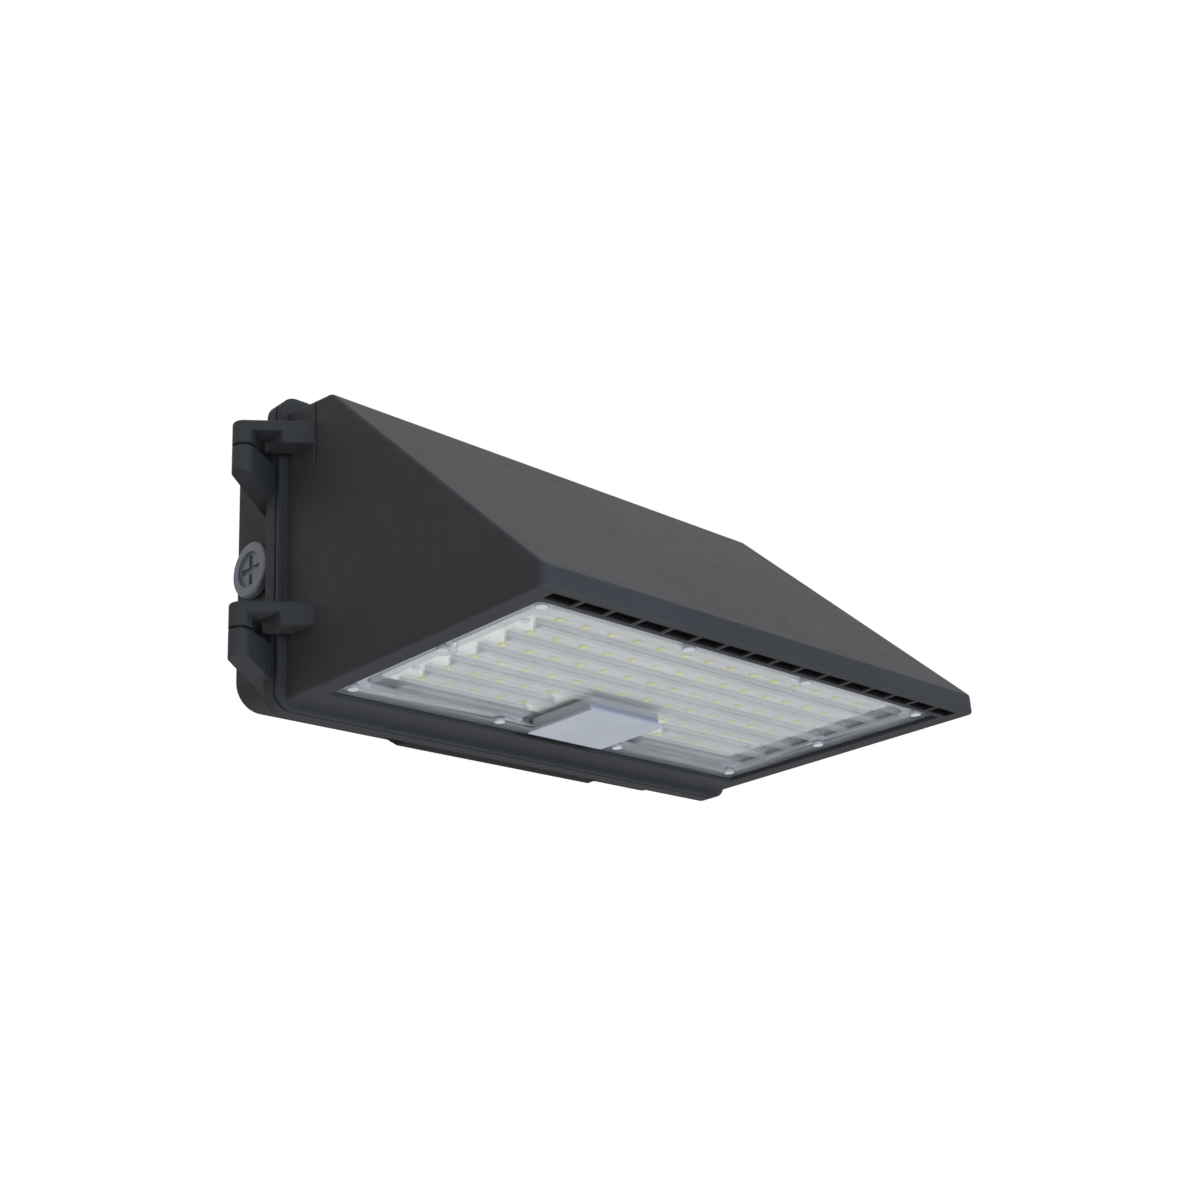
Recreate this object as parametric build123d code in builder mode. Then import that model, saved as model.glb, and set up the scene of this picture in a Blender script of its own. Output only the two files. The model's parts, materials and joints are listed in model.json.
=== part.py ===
"""Security wall light: a cast back box and a hinged wedge housing with a clear lens over LED rows.

X runs to the viewer's right, the wall is the plane Y = 0 with the light in front of it at -Y, Z is up.
"""
import os
from math import hypot

from build123d import *

os.makedirs("parts", exist_ok=True)

# Outline shared by the box rim and the housing flange
flange_height = 189.0
flange_corner = 11.0
flange_thickness = 3.0
flange_side = 5.0

# Back box
rim_side = 9.0
rim_drop = 15.0
box_corner = 16.0
box_depth = 50.0
box_wall = 3.0
rear_wall = 3.5
rim_depth = 8.5
boss_width = 156.0
boss_drop = 12.5
boss_depth = 25.0
boss_chamfer = 10.0

# Box seal
seal_thickness = 1.6
seal_inset = 3.0
seal_width = 5.0

# Wall fixing and cable entries
wall_hole_radius = 3.5
wall_hole_span = 290.0
wall_hole_rise = 100.0
rear_entry_radius = 11.1
side_entry_radius = 10.5
side_entry_reach = 20.0
side_entry_level = -2.4
entry_boss_radius = 15.5
entry_boss_length = 6.0

# Closing plug of a side entry
plug_radius = 16.4
plug_head = 4.6
plug_shank = 10.0
plug_recess_radius = 10.6
plug_recess_depth = 1.6
plug_cross_width = 3.4
plug_cross_depth = 1.4
plug_edge = 1.5
plug_clearance = 0.05
plug_seal_thickness = 1.5
plug_seal_width = 2.4

# Hinge
hinge_outset = 23.0
hinge_reach = 53.0
knuckle_radius = 6.4
knuckle_height = 15.0
knuckle_gap = 1.5
pin_radius = 2.5
pin_press = 0.02
pin_running = 0.06
pin_cap = 3.0
arm_height = 14.0
arm_bar = 6.6
arm_round = 1.5
arm_inset = 26.3
arm_spacing = 108.7
arm_front_reach = 80.4
arm_back_reach = 62.0
notch_width = 13.5
gusset_height = 8.0
gusset_front_reach = 41.5
gusset_back_reach = 25.0

# Front housing
body_corner = 4.0
housing_wall = 3.2
frame_inset = 4.5
frame_land = 20.0
frame_side = 13.0
lip_wall = 5.6
lip_height = 11.0
apex_reach = 96.0
apex_fall = 4.6
top_inset = 10.9
apex_round = 7.0
edge_round = 2.0
frame_round = 1.5
deck_thickness = 4.0
groove_reach = 82.0
groove_length = 43.0
groove_width = 1.2
groove_depth = 0.8

# Row of vent pockets behind the lip
vent_count = 16
vent_pitch = 20.6
vent_rib = 2.8
vent_land = 3.2
vent_length = 7.8
vent_depth = 9.0

# Lens cover and its seat
opening_side = 13.0
opening_land = 16.0
opening_corner = 3.0
lens_gap = 1.2
lens_recess = 2.2
lens_flange = 3.0
lens_seal = 1.5
tray_side = 7.0
tray_land = 3.0
tray_corner = 8.0
tray_recess = 4.0
tray_wall = 2.0
tray_clearance = 0.6
bar_count = 6
bar_end = 5.5
bar_width = 8.4
bar_drop = 5.5
bar_wall = 1.6
sensor_gap_width = 92.0
sensor_rows = 2

# Lens screws
lens_screw_side = 3.0
lens_screw_land = 6.5
lens_screw_mid = 48.0
lens_screw_notch = 8.0
lens_screw_radius = 1.6
lens_screw_length = 9.0
lens_screw_clearance = 0.4
lens_head_radius = 3.2
lens_head_height = 1.6
lens_head_clearance = 0.4
thread_clearance = 0.05

# LED board
board_width = 284.0
board_depth = 130.0
board_corner = 4.0
board_thickness = 1.6
board_lift = 1.3
led_per_row = 14
led_pitch = 18.5
led_size = 4.2
led_height = 0.8
board_screw_inset = 8.0
board_screw_radius = 1.25
board_screw_head = 2.4
board_screw_head_height = 0.9
board_screw_grip = 2.5

# Sensor port cover
sensor_width = 60.0
sensor_depth = 54.0
sensor_corner = 2.0
sensor_overhang = 3.3
sensor_proud = 2.3
sensor_clearance = 1.0
sensor_face = 1.5
sensor_inset = 2.0
sensor_wall = 1.8
sensor_pin_radius = 1.5
sensor_pin_inset = 4.5
sensor_pin_clearance = 0.05

# LED driver on the deck
driver_length = 170.0
driver_depth = 58.0
driver_height = 34.0
driver_reach = 150.0
driver_base = 1.5
driver_ear = 14.0
driver_round = 2.0
driver_screw_radius = 2.0
driver_screw_head = 3.6
driver_screw_head_height = 2.2
driver_screw_grip = 3.0

# Door screws at the right-hand lugs
lug_level = 42.0
lug_reach = 7.0
lug_radius = 7.5
door_screw_radius = 2.5
door_screw_clearance = 0.6
door_screw_grip = 7.0
door_head_radius = 4.4
door_head_height = 4.0
door_socket_radius = 2.2
door_socket_depth = 2.4

# Supply connector and earth screw on the rear wall
terminal_x = 75.0
terminal_z = -30.0
terminal_width = 46.0
terminal_height = 24.0
terminal_depth = 16.0
terminal_chamfer = 2.0
terminal_poles = 3
terminal_pitch = 14.0
terminal_entry_radius = 2.2
terminal_entry_depth = 8.0
terminal_screw_radius = 2.4
terminal_screw_height = 1.2
earth_x = -70.0
earth_z = -35.0
earth_boss_radius = 5.0
earth_boss_height = 5.0
earth_screw_radius = 2.0
earth_screw_length = 4.5
earth_head_radius = 4.2
earth_head_height = 2.4

# Planes and places worked out from the sizes above
seam_reach = box_depth + seal_thickness
flange_reach = seam_reach + flange_thickness
tray_width = board_width + 2 * tray_side
tray_depth = board_depth + 2 * tray_land
opening_width = tray_width + 2 * opening_side
opening_depth = tray_depth + 2 * opening_land
body_width = opening_width + 2 * frame_side
flange_width = body_width + 2 * flange_side
box_width = flange_width - 2 * rim_side
box_height = flange_height - 2 * rim_drop
lens_reach = flange_reach + frame_land + opening_depth / 2
vent_reach = lens_reach + opening_depth / 2 + vent_land + vent_length / 2
lip_reach = vent_reach + vent_length / 2 + lip_wall
frame_level = -flange_height / 2 + frame_inset
top_level = flange_height / 2 - top_inset
apex_level = top_level - apex_fall
hinge_out = flange_width / 2 + hinge_outset
upper_arm = flange_height / 2 - arm_inset
arm_tops = (upper_arm, upper_arm - arm_spacing)
body_half = body_width / 2
lens_screw_x = tray_width / 2 + lens_screw_side
lens_screw_y = tray_depth / 2 + lens_screw_land
bar_pitch = board_depth / bar_count
bar_length = board_width - 2 * bar_end
board_screw_x = board_width / 2 - board_screw_inset
board_screw_y = 2 * bar_pitch
sensor_back_reach = lens_reach - tray_depth / 2 - sensor_overhang
slope_rise = apex_level - frame_level - lip_height
slope_run = lip_reach - apex_reach
slope_length = hypot(slope_rise, slope_run)
lens_bottom = frame_level + lens_recess
lens_top = lens_bottom + lens_flange
seat_level = lens_top + lens_seal
valley_level = lens_bottom + tray_recess
valley_top = valley_level + tray_wall
board_bottom = valley_top + board_lift
deck_bottom = board_bottom + board_thickness
deck_top = deck_bottom + deck_thickness
bar_bottom = valley_level - bar_drop
sensor_level = frame_level - sensor_proud
sensor_middle = lens_reach - sensor_back_reach - sensor_depth / 2
sensor_pin_span = sensor_width - 2 * sensor_inset - 2 * sensor_pin_inset
sensor_pin_rise = sensor_depth - 2 * sensor_inset - 2 * sensor_pin_inset
hinge_place = (-hinge_out, -hinge_reach)
lug_places = [(flange_width / 2, lug_level), (flange_width / 2, -lug_level)]
screw_places = [(x, y) for x in (-lens_screw_x, lens_screw_x) for y in (-lens_screw_y, 0, lens_screw_y)]
screw_places += [(x, y) for x in (-lens_screw_mid, lens_screw_mid) for y in (-lens_screw_y, lens_screw_y)]
bar_offsets = [(row - (bar_count - 1) / 2) * bar_pitch for row in range(bar_count)]
wall_places = GridLocations(wall_hole_span, wall_hole_rise, 2, 2)
bar_piece = (bar_length - sensor_gap_width) / 2
split_rows = bar_offsets[bar_count - sensor_rows:]
whole_rows = bar_offsets[:bar_count - sensor_rows]


def reach_plane(distance):
    """Plane parallel to the wall, facing away from it, at a distance in front of it."""
    return Plane.XZ.offset(distance)


def lens_plane(level):
    """Horizontal plane centred on the lens."""
    return Plane((0, -lens_reach, level))


def bar_places():
    """Centres and lengths of the light bars, the rear rows split by the sensor port."""
    places = [(0, offset_y, bar_length) for offset_y in whole_rows]
    for offset_y in split_rows:
        for side in (-1, 1):
            places.append((side * (sensor_gap_width + bar_piece) / 2, offset_y, bar_piece))
    return places


# Hinge bracket of the box: a knuckle on a web with a sloping underside, knuckle top at Z = 0
with BuildPart() as hinge_bracket:
    with BuildSketch() as web_plan:
        with Locations(hinge_place):
            Circle(knuckle_radius)
        with BuildLine():
            wall_x = -(box_width - box_wall) / 2
            Line((wall_x, -gusset_front_reach), (wall_x, -gusset_back_reach))
        make_hull(web_plan.edges() + web_plan.pending_edges)
    extrude(amount=-(knuckle_height + gusset_height))
    with BuildSketch(Plane.XZ) as web_side:
        with BuildLine():
            Polyline(
                (-hinge_out - 2 * knuckle_radius, 0),
                (wall_x, 0),
                (wall_x, -knuckle_height - gusset_height),
                (-hinge_out - knuckle_radius, -knuckle_height),
                (-hinge_out - 2 * knuckle_radius, -knuckle_height),
                close=True,
            )
        make_face()
    extrude(amount=hinge_reach + 3 * knuckle_radius, mode=Mode.INTERSECT)
    with BuildSketch() as pin_seat:
        with Locations(hinge_place):
            Circle(pin_radius + pin_press)
    extrude(amount=-knuckle_height, mode=Mode.SUBTRACT)

# Hinge arm of the housing: a slanted block and a thin bar out to the knuckle, arm top at Z = 0
with BuildPart() as hinge_arm:
    with BuildSketch() as arm_plan:
        with Locations(hinge_place):
            Circle(knuckle_radius)
        with BuildLine():
            Line((-body_half, -arm_front_reach), (-body_half, -arm_back_reach))
        make_hull(arm_plan.edges() + arm_plan.pending_edges)
    extrude(amount=-arm_height)
    arm_rim = hinge_arm.faces().sort_by(Axis.Z)[-1].edges().sort_by(Axis.X)[:-1]
    fillet(arm_rim, arm_round)
    with BuildSketch(Plane.XY.offset(-arm_height)) as notch:
        with Locations((-hinge_out + notch_width / 2, -(arm_front_reach + hinge_reach) / 2)):
            Rectangle(notch_width, arm_front_reach)
        with Locations(hinge_place):
            Circle(knuckle_radius, mode=Mode.SUBTRACT)
    extrude(amount=arm_height - arm_bar, mode=Mode.SUBTRACT)

# Cast back box: tray, rim, hinge brackets, lugs and entries
with BuildPart() as back_box:
    with BuildSketch(reach_plane(0)) as box_outline:
        RectangleRounded(box_width, box_height, box_corner)
    extrude(amount=box_depth)
    with BuildSketch(reach_plane(box_depth - rim_depth)) as rim_outline:
        RectangleRounded(flange_width, flange_height, flange_corner)
        with Locations(*lug_places):
            SlotCenterToCenter(2 * lug_reach, 2 * lug_radius)
    extrude(amount=rim_depth)
    with BuildSketch(reach_plane(box_depth - rim_depth)) as boss_face:
        boss_top = -box_height / 2
        boss_half = boss_width / 2
        with BuildLine():
            Polyline(
                (-boss_half - boss_drop, boss_top),
                (-boss_half, boss_top - boss_drop),
                (boss_half, boss_top - boss_drop),
                (boss_half + boss_drop, boss_top),
                close=True,
            )
        make_face()
    extrude(amount=-boss_depth)
    boss_edge_middle = (0, boss_depth + rim_depth - box_depth, boss_top - boss_drop)
    chamfer(back_box.edges().sort_by_distance(boss_edge_middle)[0], boss_chamfer)
    for place in arm_tops:
        with Locations((0, 0, place - arm_height - knuckle_gap)):
            add(hinge_bracket.part)
    with BuildSketch(reach_plane(rear_wall)) as box_hollow:
        RectangleRounded(box_width - 2 * box_wall, box_height - 2 * box_wall, box_corner - box_wall)
    extrude(amount=box_depth - rear_wall, mode=Mode.SUBTRACT)
    for side in (-1, 1):
        with BuildSketch(Plane.YZ.offset(side * (box_width / 2 - box_wall))) as entry_boss:
            with Locations((-side_entry_reach, side_entry_level)):
                Circle(entry_boss_radius)
        extrude(amount=-side * entry_boss_length)
        with BuildSketch(Plane.YZ.offset(side * box_width / 2)) as entry_hole:
            with Locations((-side_entry_reach, side_entry_level)):
                Circle(side_entry_radius)
        extrude(amount=-side * (box_wall + entry_boss_length), mode=Mode.SUBTRACT)
    with BuildSketch(reach_plane(0)) as rear_holes:
        with wall_places:
            Circle(wall_hole_radius)
        Circle(rear_entry_radius)
    extrude(amount=rear_wall, mode=Mode.SUBTRACT)
    with BuildSketch(reach_plane(rear_wall)) as earth_boss:
        with Locations((earth_x, earth_z)):
            Circle(earth_boss_radius)
    extrude(amount=earth_boss_height)
    with BuildSketch(reach_plane(rear_wall + earth_boss_height)) as earth_hole:
        with Locations((earth_x, earth_z)):
            Circle(earth_screw_radius + thread_clearance)
    extrude(amount=-earth_screw_length, mode=Mode.SUBTRACT)
    with BuildSketch(reach_plane(box_depth)) as lug_holes:
        with Locations(*[(x + lug_reach, z) for x, z in lug_places]):
            Circle(door_screw_radius + door_screw_clearance)
    extrude(amount=-rim_depth, mode=Mode.SUBTRACT)

# Seal between the rim and the housing flange
with BuildPart() as box_seal:
    with BuildSketch(reach_plane(box_depth)) as seal_ring:
        RectangleRounded(
            flange_width - 2 * seal_inset,
            flange_height - 2 * seal_inset,
            flange_corner - seal_inset,
        )
        RectangleRounded(
            flange_width - 2 * seal_inset - 2 * seal_width,
            flange_height - 2 * seal_inset - 2 * seal_width,
            flange_corner - seal_inset - seal_width,
            mode=Mode.SUBTRACT,
        )
    extrude(amount=seal_thickness)


def entry_plug(side):
    """Threaded closing plug with a cross-slotted head, for the left (-1) or right (1) entry."""
    seat = Plane(
        origin=(side * (box_width / 2 + plug_seal_thickness), -side_entry_reach, side_entry_level),
        x_dir=(0, 1, 0),
        z_dir=(side, 0, 0),
    )
    with BuildPart() as plug:
        with BuildSketch(seat) as head:
            Circle(plug_radius)
        extrude(amount=plug_head)
        fillet(plug.faces().sort_by(Axis.X)[0 if side < 0 else -1].edges(), plug_edge)
        with BuildSketch(seat) as shank:
            Circle(side_entry_radius - plug_clearance)
        extrude(amount=-plug_shank)
        with BuildSketch(seat.offset(plug_head)) as recess:
            Circle(plug_recess_radius)
        extrude(amount=-plug_recess_depth, mode=Mode.SUBTRACT)
        with BuildSketch(seat.offset(plug_head - plug_recess_depth)) as cross:
            Rectangle(2 * plug_recess_radius - plug_cross_width, plug_cross_width)
            Rectangle(plug_cross_width, 2 * plug_recess_radius - plug_cross_width)
        extrude(amount=-plug_cross_depth, mode=Mode.SUBTRACT)
    return plug.part


def entry_seal(side):
    """Ring seal under the head of a closing plug."""
    seat = Plane(
        origin=(side * box_width / 2, -side_entry_reach, side_entry_level),
        x_dir=(0, 1, 0),
        z_dir=(side, 0, 0),
    )
    with BuildPart() as ring:
        with BuildSketch(seat) as ring_face:
            Circle(side_entry_radius + plug_seal_width)
            Circle(side_entry_radius, mode=Mode.SUBTRACT)
        extrude(amount=plug_seal_thickness)
    return ring.part


# Hinge pins, pressed into the box knuckles
with BuildPart() as hinge_pins:
    for place in arm_tops:
        with BuildSketch(Plane.XY.offset(place - arm_height - knuckle_gap - knuckle_height)) as pin_foot:
            with Locations(hinge_place):
                Circle(pin_radius)
        extrude(amount=knuckle_height + arm_height - pin_cap)

# Supply connector
with BuildPart() as terminal_block:
    with BuildSketch(reach_plane(rear_wall)) as terminal_foot:
        with Locations((terminal_x, terminal_z)):
            Rectangle(terminal_width, terminal_height)
    extrude(amount=terminal_depth)
    chamfer(terminal_block.faces().sort_by(Axis.Y)[0].edges().filter_by(Axis.X), terminal_chamfer)
    terminal_middle = rear_wall + terminal_depth / 2
    with BuildSketch(Plane.XY.offset(terminal_z + terminal_height / 2)) as wire_entries:
        with Locations((terminal_x, -terminal_middle)):
            with GridLocations(terminal_pitch, 1, terminal_poles, 1):
                Circle(terminal_entry_radius)
    extrude(amount=-terminal_entry_depth, mode=Mode.SUBTRACT)

with BuildPart() as terminal_screws:
    with BuildSketch(reach_plane(rear_wall + terminal_depth)) as terminal_heads:
        with Locations((terminal_x, terminal_z)):
            with GridLocations(terminal_pitch, 1, terminal_poles, 1):
                Circle(terminal_screw_radius)
    extrude(amount=terminal_screw_height)

# Earth screw
with BuildPart() as earth_screw:
    with BuildSketch(reach_plane(rear_wall + earth_boss_height)) as earth_shank:
        with Locations((earth_x, earth_z)):
            Circle(earth_screw_radius)
    extrude(amount=-earth_screw_length)
    with BuildSketch(reach_plane(rear_wall + earth_boss_height)) as earth_head:
        with Locations((earth_x, earth_z)):
            Circle(earth_head_radius)
    extrude(amount=earth_head_height)

# Outline of the lens tray, drawn in round the lens screws and let out for the sensor port
with BuildSketch() as tray:
    RectangleRounded(tray_width, tray_depth, tray_corner)
    with Locations(*screw_places):
        Circle(lens_screw_notch, mode=Mode.SUBTRACT)
    with Locations((0, sensor_middle)):
        Rectangle(sensor_width + 2 * sensor_clearance, sensor_depth + 2 * sensor_clearance)

# Cast front housing: wedge shell, flange, hinge arms, lens seat and vents
with BuildPart() as front_housing:
    with BuildSketch(Plane.YZ) as wedge:
        with BuildLine():
            Polyline(
                (-flange_reach, frame_level),
                (-lip_reach, frame_level),
                (-lip_reach, frame_level + lip_height),
                (-apex_reach, apex_level),
                (-flange_reach, top_level),
                close=True,
            )
        make_face()
    extrude(amount=body_half, both=True)
    with BuildSketch(Plane.XY.offset(frame_level)) as wedge_plan:
        with Locations((0, -(flange_reach + lip_reach) / 2)):
            Rectangle(body_width, lip_reach - flange_reach)
        fillet(wedge_plan.vertices().group_by(Axis.Y)[0], body_corner)
    extrude(amount=top_level - frame_level, mode=Mode.INTERSECT)
    fillet(front_housing.edges().sort_by_distance((0, -apex_reach, apex_level))[0], apex_round)
    slope_middle = (0, -(lip_reach + apex_reach) / 2, (apex_level + frame_level + lip_height) / 2)
    slope_face = front_housing.faces().sort_by_distance(slope_middle)[0]
    slope_edges = slope_face.edges().filter_by(lambda edge: edge.center().Z < apex_level - apex_round)
    fillet(slope_edges, edge_round)
    bottom_edges = front_housing.faces().sort_by(Axis.Z)[0].edges()
    fillet(bottom_edges.sort_by(Axis.Y)[:-1], frame_round)
    with BuildSketch(reach_plane(seam_reach)) as flange_outline:
        RectangleRounded(flange_width, flange_height, flange_corner)
        with Locations(*lug_places):
            SlotCenterToCenter(2 * lug_reach, 2 * lug_radius)
    extrude(amount=flange_thickness)
    for place in arm_tops:
        with Locations((0, 0, place)):
            add(hinge_arm.part)
        with BuildSketch(Plane.XY.offset(place - arm_height)) as pin_bore:
            with Locations(hinge_place):
                Circle(pin_radius + pin_running)
        extrude(amount=arm_height - pin_cap, mode=Mode.SUBTRACT)
    with BuildSketch(Plane.YZ) as cavity:
        slope_wall = housing_wall * slope_length / slope_rise
        with BuildLine():
            floor_front = -lip_reach + (deck_top - frame_level - lip_height) * slope_run / slope_rise + slope_wall
            roof_level = apex_level - housing_wall
            roof_front = -lip_reach + (roof_level - frame_level - lip_height) * slope_run / slope_rise + slope_wall
            Polyline(
                (-seam_reach, deck_top),
                (floor_front, deck_top),
                (roof_front, roof_level),
                (-seam_reach, roof_level),
                close=True,
            )
        make_face()
    extrude(amount=body_half - housing_wall, both=True, mode=Mode.SUBTRACT)
    with BuildSketch(lens_plane(frame_level)) as opening:
        RectangleRounded(opening_width, opening_depth, opening_corner)
    extrude(amount=seat_level - frame_level, mode=Mode.SUBTRACT)
    with BuildSketch(lens_plane(seat_level)) as seat_opening:
        offset(tray.sketch, amount=tray_wall + tray_clearance)
    extrude(amount=deck_bottom - seat_level, mode=Mode.SUBTRACT)
    with BuildSketch(lens_plane(seat_level)) as screw_holes:
        with Locations(*screw_places):
            Circle(lens_screw_radius + thread_clearance)
    extrude(amount=lens_screw_length - lens_flange, mode=Mode.SUBTRACT)
    with BuildSketch(Plane.XY.offset(frame_level)) as vents:
        with Locations((0, -vent_reach)):
            with GridLocations(vent_pitch, 1, vent_count, 1):
                Rectangle(vent_pitch - vent_rib, vent_length)
    extrude(amount=vent_depth, mode=Mode.SUBTRACT)
    with BuildSketch(lens_plane(deck_bottom)) as board_screw_holes:
        with GridLocations(2 * board_screw_x, 2 * board_screw_y, 2, 2):
            Circle(board_screw_radius + thread_clearance)
    extrude(amount=board_screw_grip, mode=Mode.SUBTRACT)
    with BuildSketch(Plane((0, -driver_reach, deck_top))) as driver_screw_holes:
        with GridLocations(driver_length + driver_ear, 1, 2, 1):
            Circle(driver_screw_radius + thread_clearance)
    extrude(amount=-driver_screw_grip, mode=Mode.SUBTRACT)
    with BuildSketch(Plane.YZ.offset(-body_half)) as groove:
        with Locations((-groove_reach, top_level - groove_length / 2)):
            Rectangle(groove_width, groove_length)
    extrude(amount=groove_depth, mode=Mode.SUBTRACT)
    with BuildSketch(reach_plane(flange_reach)) as flange_holes:
        with Locations(*[(x + lug_reach, z) for x, z in lug_places]):
            Circle(door_screw_radius + thread_clearance)
    extrude(amount=-flange_thickness, mode=Mode.SUBTRACT)

# Clear lens cover: flange, recessed tray and hollow light bars
with BuildPart() as lens_cover:
    with BuildSketch(lens_plane(lens_bottom)) as lens_outline:
        RectangleRounded(opening_width - 2 * lens_gap, opening_depth - 2 * lens_gap, opening_corner)
    extrude(amount=lens_flange)
    with BuildSketch(lens_plane(lens_bottom)) as tray_outer:
        offset(tray.sketch, amount=tray_wall)
    extrude(amount=valley_top - lens_bottom)
    with BuildSketch(lens_plane(lens_bottom)) as tray_inner:
        add(tray.sketch)
    extrude(amount=tray_recess, mode=Mode.SUBTRACT)
    with BuildSketch(lens_plane(bar_bottom)) as bars:
        for bar_x, bar_y, length in bar_places():
            with Locations((bar_x, bar_y)):
                RectangleRounded(length, bar_width, bar_width / 2 - bar_wall)
    extrude(amount=valley_top - bar_bottom)
    with BuildSketch(lens_plane(bar_bottom + bar_wall)) as tunnels:
        for bar_x, bar_y, length in bar_places():
            with Locations((bar_x, bar_y)):
                Rectangle(length - 2 * bar_wall, bar_width - 2 * bar_wall)
    extrude(amount=valley_top - bar_bottom, mode=Mode.SUBTRACT)
    with BuildSketch(lens_plane(lens_bottom)) as lens_screw_holes:
        with Locations(*screw_places):
            Circle(lens_screw_radius + lens_screw_clearance)
    extrude(amount=lens_flange, mode=Mode.SUBTRACT)
    with BuildSketch(lens_plane(lens_bottom)) as lens_head_seats:
        with Locations(*screw_places):
            Circle(lens_head_radius + lens_head_clearance)
    extrude(amount=lens_head_height, mode=Mode.SUBTRACT)
    with BuildSketch(lens_plane(valley_level)) as sensor_pin_holes:
        with Locations((0, sensor_middle)):
            with GridLocations(sensor_pin_span, sensor_pin_rise, 2, 2):
                Circle(sensor_pin_radius + sensor_pin_clearance)
    extrude(amount=tray_wall, mode=Mode.SUBTRACT)

# Seal between the lens flange and its seat
with BuildPart() as lens_gasket:
    with BuildSketch(lens_plane(lens_top)) as lens_seal_ring:
        RectangleRounded(opening_width - 2 * lens_gap, opening_depth - 2 * lens_gap, opening_corner)
        offset(tray.sketch, amount=tray_wall + tray_clearance, mode=Mode.SUBTRACT)
        with Locations(*screw_places):
            Circle(lens_screw_radius + lens_screw_clearance, mode=Mode.SUBTRACT)
    extrude(amount=lens_seal)

# Lens screws, heads sunk in the lens flange
with BuildPart() as lens_screws:
    with BuildSketch(lens_plane(lens_bottom)) as lens_heads:
        with Locations(*screw_places):
            Circle(lens_head_radius)
    extrude(amount=lens_head_height)
    with BuildSketch(lens_plane(lens_bottom + lens_head_height)) as lens_shanks:
        with Locations(*screw_places):
            Circle(lens_screw_radius)
    extrude(amount=lens_screw_length - lens_head_height)

# LED board under the deck
with BuildPart() as led_board:
    with BuildSketch(lens_plane(board_bottom)) as board_outline:
        RectangleRounded(board_width, board_depth, board_corner)
        with GridLocations(2 * board_screw_x, 2 * board_screw_y, 2, 2):
            Circle(board_screw_radius + thread_clearance, mode=Mode.SUBTRACT)
    extrude(amount=board_thickness)

# LED chips, none over the sensor port
led_offsets = [(column - (led_per_row - 1) / 2) * led_pitch for column in range(led_per_row)]
led_places = [(x, y) for x in led_offsets for y in whole_rows]
led_places += [(x, y) for x in led_offsets for y in split_rows if abs(x) > sensor_gap_width / 2]
with BuildPart() as led_chips:
    with BuildSketch(lens_plane(board_bottom)) as led_faces:
        with Locations(*led_places):
            Rectangle(led_size, led_size)
    extrude(amount=-led_height)

# Board screws
with BuildPart() as board_screws:
    with BuildSketch(lens_plane(board_bottom)) as board_heads:
        with GridLocations(2 * board_screw_x, 2 * board_screw_y, 2, 2):
            Circle(board_screw_head)
    extrude(amount=-board_screw_head_height)
    with BuildSketch(lens_plane(board_bottom)) as board_shanks:
        with GridLocations(2 * board_screw_x, 2 * board_screw_y, 2, 2):
            Circle(board_screw_radius)
    extrude(amount=board_thickness + board_screw_grip)

# Sensor port cover, staked to the tray floor by four pins
with BuildPart() as sensor_cover:
    with BuildSketch(lens_plane(sensor_level)) as sensor_plate:
        with Locations((0, sensor_middle)):
            RectangleRounded(sensor_width, sensor_depth, sensor_corner)
    extrude(amount=sensor_face)
    with BuildSketch(lens_plane(sensor_level + sensor_face)) as sensor_skirt:
        with Locations((0, sensor_middle)):
            RectangleRounded(sensor_width - 2 * sensor_inset, sensor_depth - 2 * sensor_inset, sensor_corner)
            Rectangle(
                sensor_width - 2 * sensor_inset - 2 * sensor_wall,
                sensor_depth - 2 * sensor_inset - 2 * sensor_wall,
                mode=Mode.SUBTRACT,
            )
    extrude(amount=valley_level - sensor_level - sensor_face)
    with BuildSketch(lens_plane(sensor_level + sensor_face)) as sensor_pins:
        with Locations((0, sensor_middle)):
            with GridLocations(sensor_pin_span, sensor_pin_rise, 2, 2):
                Circle(sensor_pin_radius)
    extrude(amount=valley_top - sensor_level - sensor_face)

# LED driver: base plate with ears and a cover
with BuildPart() as driver_plate:
    with BuildSketch(Plane((0, -driver_reach, deck_top))) as plate_outline:
        Rectangle(driver_length + 2 * driver_ear, driver_depth)
        with GridLocations(driver_length + driver_ear, 1, 2, 1):
            Circle(driver_screw_radius + thread_clearance, mode=Mode.SUBTRACT)
    extrude(amount=driver_base)

with BuildPart() as driver_case:
    with BuildSketch(Plane((0, -driver_reach, deck_top + driver_base))) as case_outline:
        Rectangle(driver_length, driver_depth)
    extrude(amount=driver_height)
    fillet(driver_case.edges().filter_by(Axis.Y).group_by(Axis.Z)[-1], driver_round)

with BuildPart() as driver_screws:
    with BuildSketch(Plane((0, -driver_reach, deck_top + driver_base))) as driver_heads:
        with GridLocations(driver_length + driver_ear, 1, 2, 1):
            Circle(driver_screw_head)
    extrude(amount=driver_screw_head_height)
    with BuildSketch(Plane((0, -driver_reach, deck_top + driver_base))) as driver_shanks:
        with GridLocations(driver_length + driver_ear, 1, 2, 1):
            Circle(driver_screw_radius)
    extrude(amount=-(driver_base + driver_screw_grip))

# Door screws at the lugs
with BuildPart() as door_screws:
    with BuildSketch(reach_plane(flange_reach)) as door_heads:
        with Locations(*[(x + lug_reach, z) for x, z in lug_places]):
            Circle(door_head_radius)
    extrude(amount=door_head_height)
    with BuildSketch(reach_plane(flange_reach)) as door_shanks:
        with Locations(*[(x + lug_reach, z) for x, z in lug_places]):
            Circle(door_screw_radius)
    extrude(amount=-(flange_thickness + seal_thickness + door_screw_grip))
    with BuildSketch(reach_plane(flange_reach + door_head_height)) as door_sockets:
        with Locations(*[(x + lug_reach, z) for x, z in lug_places]):
            RegularPolygon(door_socket_radius, 6)
    extrude(amount=-door_socket_depth, mode=Mode.SUBTRACT)

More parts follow.
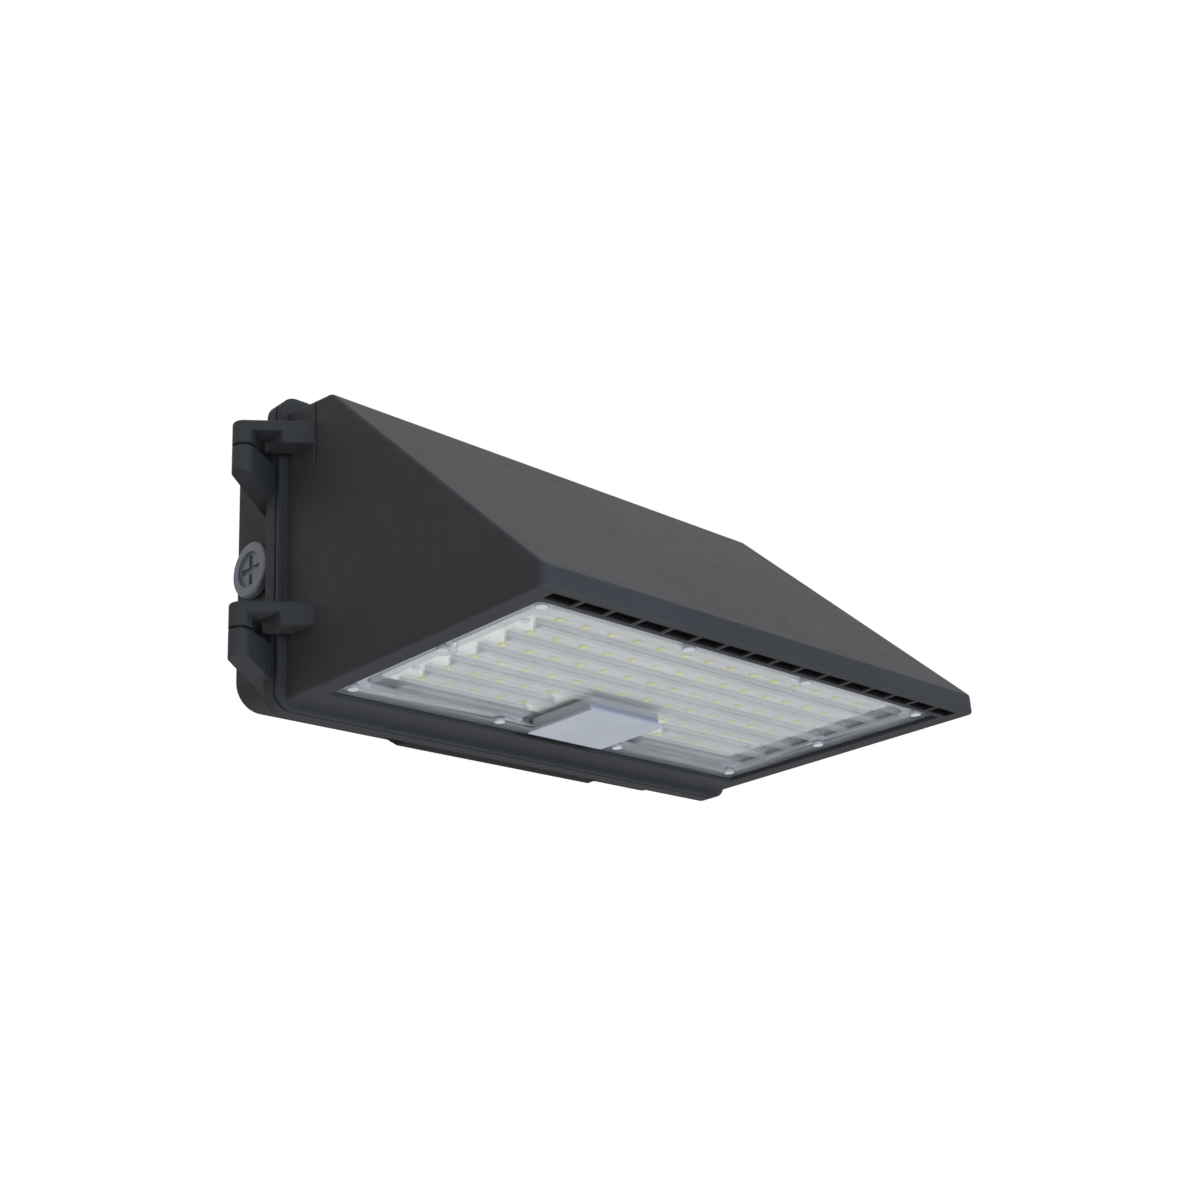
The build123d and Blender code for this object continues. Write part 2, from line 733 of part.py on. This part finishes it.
pieces = {
    "back_box": back_box.part,
    "box_seal": box_seal.part,
    "entry_plug_left": entry_plug(-1),
    "entry_plug_right": entry_plug(1),
    "entry_seal_left": entry_seal(-1),
    "entry_seal_right": entry_seal(1),
    "hinge_pins": hinge_pins.part,
    "terminal_block": terminal_block.part,
    "terminal_screws": terminal_screws.part,
    "earth_screw": earth_screw.part,
    "front_housing": front_housing.part,
    "lens_cover": lens_cover.part,
    "lens_gasket": lens_gasket.part,
    "lens_screws": lens_screws.part,
    "led_board": led_board.part,
    "led_chips": led_chips.part,
    "board_screws": board_screws.part,
    "sensor_cover": sensor_cover.part,
    "driver_plate": driver_plate.part,
    "driver_case": driver_case.part,
    "driver_screws": driver_screws.part,
    "door_screws": door_screws.part,
}
for label, piece in pieces.items():
    piece.label = label
    export_step(piece, f"parts/{label}.step")
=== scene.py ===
"""Looks of the security wall light: finishes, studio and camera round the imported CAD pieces."""

import json
import math

import bpy
from mathutils import Matrix, Vector


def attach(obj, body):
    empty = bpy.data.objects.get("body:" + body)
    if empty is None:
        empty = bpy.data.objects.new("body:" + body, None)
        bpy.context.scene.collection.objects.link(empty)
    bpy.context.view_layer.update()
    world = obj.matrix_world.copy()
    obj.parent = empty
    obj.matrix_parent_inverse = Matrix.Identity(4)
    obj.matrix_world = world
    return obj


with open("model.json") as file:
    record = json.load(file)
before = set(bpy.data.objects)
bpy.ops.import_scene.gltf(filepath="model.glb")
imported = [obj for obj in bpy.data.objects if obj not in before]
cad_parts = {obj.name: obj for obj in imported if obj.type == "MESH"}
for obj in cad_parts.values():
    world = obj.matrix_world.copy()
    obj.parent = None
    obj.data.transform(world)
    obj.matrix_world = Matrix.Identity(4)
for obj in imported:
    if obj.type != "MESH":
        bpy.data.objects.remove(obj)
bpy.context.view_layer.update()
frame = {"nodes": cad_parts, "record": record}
scene = bpy.context.scene
scene.view_settings.view_transform = "Standard"


# Node materials

# Sockets of a Mix node in colour mode, which share their names with its other modes
MIX_FACTOR, MIX_FIRST, MIX_SECOND, MIX_RESULT = 0, 6, 7, 2
BEVEL_SAMPLES = 4


class Finish:
    """One procedural material, built node by node on object coordinates in metres."""

    def __init__(self, name):
        self.material = bpy.data.materials.new(name)
        self.material.use_nodes = True
        self.tree = self.material.node_tree
        self.tree.nodes.clear()
        self.output = self.add("ShaderNodeOutputMaterial")
        self.place = self.add("ShaderNodeTexCoord").outputs["Object"]

    def add(self, kind, **inputs):
        """New node; inputs are named as its sockets, with _ for a space."""
        node = self.tree.nodes.new(kind)
        for key, value in inputs.items():
            self.put(node, key.replace("_", " "), value)
        return node

    def put(self, node, key, value):
        """Link a socket, or set its constant."""
        if isinstance(value, bpy.types.NodeSocket):
            self.tree.links.new(value, node.inputs[key])
        else:
            node.inputs[key].default_value = value

    def noise(self, scale, detail, roughness=0.5):
        node = self.add(
            "ShaderNodeTexNoise", Vector=self.place, Scale=scale, Detail=detail, Roughness=roughness)
        return node.outputs["Fac"]

    def stretched(self, stretch, scale, detail):
        """Noise drawn out along the object's axes."""
        mapping = self.add("ShaderNodeMapping", Vector=self.place, Scale=stretch)
        node = self.add(
            "ShaderNodeTexNoise", Vector=mapping.outputs["Vector"], Scale=scale, Detail=detail)
        return node.outputs["Fac"]

    def ramp(self, fac, low, high, start=0.35, end=0.65):
        """Colour that runs from low to high between two values."""
        node = self.add("ShaderNodeValToRGB", Fac=fac)
        first, last = node.color_ramp.elements
        first.position, first.color = start, (*low, 1)
        last.position, last.color = end, (*high, 1)
        return node.outputs["Color"]

    def spread(self, noise, low, high):
        """Number that runs from low to high over the middle of a noise."""
        node = self.add(
            "ShaderNodeMapRange", Value=noise, From_Min=0.3, From_Max=0.7, To_Min=low, To_Max=high)
        return node.outputs["Result"]

    def bump(self, height, strength, distance, normal):
        node = self.add(
            "ShaderNodeBump", Height=height, Strength=strength, Distance=distance, Normal=normal)
        return node.outputs["Normal"]

    def edge(self, radius):
        """Normal that rounds the edges."""
        node = self.add("ShaderNodeBevel", Radius=radius)
        node.samples = BEVEL_SAMPLES
        return node.outputs["Normal"]

    def math(self, operation, *values):
        """Arithmetic, held between 0 and 1."""
        node = self.add("ShaderNodeMath")
        node.operation = operation
        node.use_clamp = True
        for index, value in enumerate(values):
            self.put(node, index, value)
        return node.outputs["Value"]

    def band(self, axis, low, high):
        """1 where the coordinate on an axis lies between low and high, else 0."""
        along = self.add("ShaderNodeSeparateXYZ", Vector=self.place).outputs[axis]
        return self.math("COMPARE", along, (low + high) / 2, (high - low) / 2)

    def within(self, block):
        """1 inside a block that is given by its range on each axis, else 0."""
        mask = self.math("MULTIPLY", self.band("Y", *block["Y"]), self.band("Z", *block["Z"]))
        return self.math("MULTIPLY", mask, self.band("X", *block["X"]))

    def blend(self, fac, first, second):
        """Two shaders mixed."""
        node = self.add("ShaderNodeMixShader", Fac=fac)
        self.put(node, 1, first.outputs[0])
        self.put(node, 2, second.outputs[0])
        return node

    def surface(self, shader):
        self.tree.links.new(shader.outputs[0], self.output.inputs["Surface"])
        return self.material


def powder_coat(name, dark, light, roughness, gloss, radius, painted_shades=()):
    """Powder coat on a casting: fine grain, soft edges, faint marks, painted shade near black in the
    hollows.
    """
    finish = Finish(name)
    color = finish.ramp(finish.noise(9.0, 4.0, 0.6), dark, light)
    marks = finish.noise(140.0, 6.0, 0.65)
    rough = finish.spread(marks, roughness - 0.04, roughness + 0.04)
    normal = finish.bump(finish.noise(750.0, 2.0), 0.025, 0.00012, finish.edge(radius))
    # Painted shade: inside each given block the paint colour is mixed to near black, for the shade
    # in the vent pockets and under the box ledge.
    for block in painted_shades:
        tone = finish.add("ShaderNodeMix")
        tone.data_type = "RGBA"
        finish.put(tone, MIX_FACTOR, finish.within(block))
        finish.put(tone, MIX_FIRST, color)
        finish.put(tone, MIX_SECOND, PAINTED_SHADE_BLACK)
        color = tone.outputs[MIX_RESULT]
    shader = finish.add(
        "ShaderNodeBsdfPrincipled", Base_Color=color, Roughness=rough, Normal=normal,
        Specular_IOR_Level=gloss)
    return finish.surface(shader)


def moulded(name, dark, light, roughness, grain=900.0, strength=0.1):
    """Moulded plastic or rubber with a light surface texture."""
    finish = Finish(name)
    color = finish.ramp(finish.noise(30.0, 4.0), dark, light)
    rough = finish.spread(finish.noise(220.0, 5.0), roughness - 0.06, roughness + 0.06)
    normal = finish.bump(finish.noise(grain, 3.0), strength, 0.0001, finish.edge(0.0004))
    shader = finish.add(
        "ShaderNodeBsdfPrincipled", Base_Color=color, Roughness=rough, Normal=normal)
    return finish.surface(shader)


def metal(name, dark, light, roughness, stretch=(1, 1, 1), bare=1.0):
    """Metal with fine draw marks and a little dulling; bare is below 1 where it is plated matt."""
    finish = Finish(name)
    grain = finish.stretched(stretch, 900.0, 3.0)
    color = finish.ramp(finish.noise(60.0, 5.0), dark, light)
    rough = finish.spread(grain, roughness - 0.08, roughness + 0.1)
    normal = finish.bump(grain, 0.08, 0.00005, finish.edge(0.0003))
    shader = finish.add(
        "ShaderNodeBsdfPrincipled", Base_Color=color, Metallic=bare, Roughness=rough, Normal=normal)
    return finish.surface(shader)


def clear_lens(name):
    """Clear moulded lens: light goes straight through a slightly milky body with a glossy skin.

    Walls that stand up from the lens plane get a darker see-through colour, painted shade for the
    dark lines that the bar walls show, and only the side that faces out is glossy.
    """
    finish = Finish(name)
    haze = finish.noise(45.0, 4.0)
    ripple = finish.bump(finish.noise(160.0, 2.0), 0.12, 0.0002, finish.edge(0.0006))
    shape = finish.add("ShaderNodeNewGeometry").outputs
    upright = finish.add("ShaderNodeSeparateXYZ", Vector=shape["Normal"]).outputs["Z"]
    # Painted shade: the see-through colour darkens as the wall turns upright.
    wall_shade_tint = finish.ramp(
        finish.math("ABSOLUTE", upright), (0.84, 0.85, 0.86), (0.98, 0.98, 0.975), 0.30, 0.80)
    through = finish.add("ShaderNodeBsdfTransparent", Color=wall_shade_tint)
    body = finish.add("ShaderNodeBsdfTranslucent", Color=(0.92, 0.94, 0.96, 1), Normal=ripple)
    milk = finish.add("ShaderNodeBsdfDiffuse", Color=(0.86, 0.88, 0.90, 1), Normal=ripple)
    skin = finish.add(
        "ShaderNodeBsdfGlossy", Roughness=finish.spread(haze, 0.06, 0.16), Normal=ripple)
    inside = finish.blend(finish.spread(haze, 0.08, 0.14), through, finish.blend(0.5, body, milk))
    fresnel = finish.add("ShaderNodeFresnel", IOR=1.45, Normal=ripple).outputs["Fac"]
    outside = finish.math("SUBTRACT", fresnel, shape["Backfacing"])
    return finish.surface(finish.blend(outside, inside, skin))


# Painted shade: the near-black colour, and the blocks of the vent pockets and of the ledge under the
# back box where it is painted.
PAINTED_SHADE_BLACK = (0.003, 0.003, 0.0032, 1)
VENT_POCKET_SHADE = {"X": (-0.1652, 0.1652), "Y": (-0.2537, -0.2457), "Z": (-0.0898, -0.0805)}
BOX_LEDGE_SHADE = {"X": (-0.0950, 0.0950), "Y": (-0.0414, -0.0160), "Z": (-0.0930, -0.0798)}

finishes = {
    "cast_paint": powder_coat(
        "cast_paint", (0.021, 0.0212, 0.0222), (0.026, 0.0262, 0.0273), 0.64, 0.2, 0.0028,
        (VENT_POCKET_SHADE, BOX_LEDGE_SHADE)),
    "plug_grey": powder_coat(
        "plug_grey", (0.085, 0.092, 0.105), (0.11, 0.118, 0.132), 0.42, 0.5, 0.0006),
    "seal_rubber": moulded("seal_rubber", (0.010, 0.010, 0.011), (0.016, 0.016, 0.017), 0.7),
    "seal_pale": moulded("seal_pale", (0.44, 0.45, 0.47), (0.52, 0.53, 0.55), 0.6),
    "fastener_steel": metal(
        "fastener_steel", (0.50, 0.51, 0.52), (0.60, 0.61, 0.62), 0.42, bare=0.4),
    "terminal_plastic": moulded(
        "terminal_plastic", (0.66, 0.65, 0.61), (0.74, 0.73, 0.69), 0.45),
    "brass_screw": metal("brass_screw", (0.62, 0.46, 0.20), (0.72, 0.54, 0.25), 0.35),
    "lens_clear": clear_lens("lens_clear"),
    "board_white": moulded(
        "board_white", (0.68, 0.67, 0.63), (0.73, 0.72, 0.68), 0.4, 1500.0, 0.04),
    "led_phosphor": moulded(
        "led_phosphor", (0.80, 0.76, 0.25), (0.88, 0.85, 0.36), 0.35, 2500.0, 0.05),
    "sensor_grey": moulded(
        "sensor_grey", (0.29, 0.305, 0.33), (0.32, 0.335, 0.36), 0.5, 1800.0, 0.12),
    "driver_metal": metal(
        "driver_metal", (0.52, 0.53, 0.54), (0.62, 0.63, 0.64), 0.4, (1, 12, 1)),
}
slot_of = {part["node"]: part["material_slot"] for part in frame["record"]["subparts"]}
for name, node in frame["nodes"].items():
    node.data.materials.clear()
    node.data.materials.append(finishes[slot_of[name]])


# Cheeks of the box behind the hinge arms, which close the gap between arm, knuckle and box wall

CHEEK_PLAN = [
    (-0.1705, -0.0240), (-0.1760, -0.0260), (-0.1900, -0.0375), (-0.1915, -0.0405),
    (-0.1900, -0.0432), (-0.1860, -0.0442), (-0.1705, -0.0435)]
CHEEK_HEIGHT = 0.0240
CHEEK_CHAMFER = 0.0015
CHEEK_CROWN = 0.86


def hinge_cheek(name, top):
    """Upright cheek with a chamfered crown, cast on the box wall."""
    count = len(CHEEK_PLAN)
    middle = [sum(values) / count for values in zip(*CHEEK_PLAN)]
    crown = [
        tuple(m + CHEEK_CROWN * (v - m) for v, m in zip(point, middle)) for point in CHEEK_PLAN]
    loops = [(CHEEK_PLAN, top - CHEEK_HEIGHT), (CHEEK_PLAN, top - CHEEK_CHAMFER), (crown, top)]
    corners = [(x, y, z) for loop, z in loops for x, y in loop]
    faces = [tuple(reversed(range(count))), tuple(range(2 * count, 3 * count))]
    for base in (0, count):
        for index in range(count):
            after = (index + 1) % count
            faces.append(
                (base + index, base + after, base + count + after, base + count + index))
    mesh = bpy.data.meshes.new(name)
    mesh.from_pydata(corners, [], faces)
    mesh.materials.append(finishes["cast_paint"])
    piece = bpy.data.objects.new(name, mesh)
    scene.collection.objects.link(piece)
    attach(piece, "box")


hinge_cheek("hinge_cheek_upper", 0.0697)
hinge_cheek("hinge_cheek_lower", -0.0390)


# Studio

def studio_floor(level, half):
    """Pale floor well below the light, with faint cloudy tone."""
    mesh = bpy.data.meshes.new("studio_floor")
    corners = [(-half, -half), (half, -half), (half, half), (-half, half)]
    mesh.from_pydata([(x, y, level) for x, y in corners], [], [(0, 1, 2, 3)])
    floor = bpy.data.objects.new("studio_floor", mesh)
    scene.collection.objects.link(floor)
    finish = Finish("floor_pale")
    color = finish.ramp(finish.noise(0.8, 3.0), (0.80, 0.80, 0.80), (0.84, 0.84, 0.84))
    mesh.materials.append(finish.surface(finish.add("ShaderNodeBsdfDiffuse", Color=color)))


def softbox(name, place, target, size, power, color):
    """Area light at a place, turned to a target."""
    lamp = bpy.data.lights.new(name, "AREA")
    lamp.shape = "RECTANGLE"
    lamp.size, lamp.size_y = size
    lamp.energy = power
    lamp.color = color
    holder = bpy.data.objects.new(name, lamp)
    holder.location = place
    holder.rotation_mode = "QUATERNION"
    holder.rotation_quaternion = (Vector(target) - Vector(place)).to_track_quat("-Z", "Y")
    scene.collection.objects.link(holder)


def world_light(color, strength):
    """Even sky light on the object, plain white where the camera, gloss and clear parts show it."""
    world = bpy.data.worlds.new("studio")
    world.use_nodes = True
    tree = world.node_tree
    tree.nodes.clear()

    def background(tone, level):
        node = tree.nodes.new("ShaderNodeBackground")
        node.inputs["Color"].default_value = (*tone, 1)
        node.inputs["Strength"].default_value = level
        return node.outputs[0]

    rays = tree.nodes.new("ShaderNodeLightPath").outputs
    seen = rays["Is Camera Ray"]
    for kind in ("Is Glossy Ray", "Is Transmission Ray"):
        either = tree.nodes.new("ShaderNodeMath")
        either.operation = "MAXIMUM"
        tree.links.new(seen, either.inputs[0])
        tree.links.new(rays[kind], either.inputs[1])
        seen = either.outputs["Value"]
    mix = tree.nodes.new("ShaderNodeMixShader")
    output = tree.nodes.new("ShaderNodeOutputWorld")
    tree.links.new(seen, mix.inputs["Fac"])
    tree.links.new(background(color, strength), mix.inputs[1])
    tree.links.new(background((1, 1, 1), 1.0), mix.inputs[2])
    tree.links.new(mix.outputs[0], output.inputs["Surface"])
    scene.world = world


centre = (0.0, -0.13, -0.01)
studio_floor(-1.6, 40.0)
world_light((0.90, 0.94, 1.0), 0.46)
softbox("key_above", (0.4, -0.7, 1.8), centre, (1.4, 1.0), 5.0, (1.0, 0.93, 0.82))
softbox("front_cool", (-0.2, -2.2, -0.3), centre, (1.0, 0.8), 42.0, (0.60, 0.75, 1.0))
softbox("fill_left", (-1.9, -0.6, 0.1), centre, (0.8, 0.8), 6.0, (0.94, 0.96, 1.0))
softbox("bounce_below", (0.0, -0.4, -1.3), centre, (1.6, 1.4), 19.0, (1.0, 0.99, 0.98))


# Camera at the photo's view

PHOTO_PX = 1200.0
FOCAL_PX = 1677.32
SENSOR_MM = 36.0


def photo_camera(target, distance, azimuth, elevation, roll):
    """Camera that looks at a target, placed by distance and angles in degrees."""
    az, el, turn = (math.radians(angle) for angle in (azimuth, elevation, roll))
    back = Vector((math.sin(az) * math.cos(el), -math.cos(az) * math.cos(el), math.sin(el)))
    right = (-back).cross(Vector((0, 0, 1))).normalized()
    up = right.cross(-back)
    side = right * math.cos(turn) + up * math.sin(turn)
    head = up * math.cos(turn) - right * math.sin(turn)
    data = bpy.data.cameras.new("photo_view")
    data.sensor_fit = "AUTO"
    data.sensor_width = SENSOR_MM
    data.lens = SENSOR_MM * FOCAL_PX / PHOTO_PX
    data.clip_start, data.clip_end = 0.01, 50.0
    camera = bpy.data.objects.new("photo_view", data)
    spin = Matrix((side, head, back)).transposed().to_4x4()
    camera.matrix_world = Matrix.Translation(Vector(target) + back * distance) @ spin
    scene.collection.objects.link(camera)
    scene.camera = camera


photo_camera((-0.00436, -0.1285, -0.0162), 0.9932, -45.764, -21.355, -3.701)

bpy.context.view_layer.update()
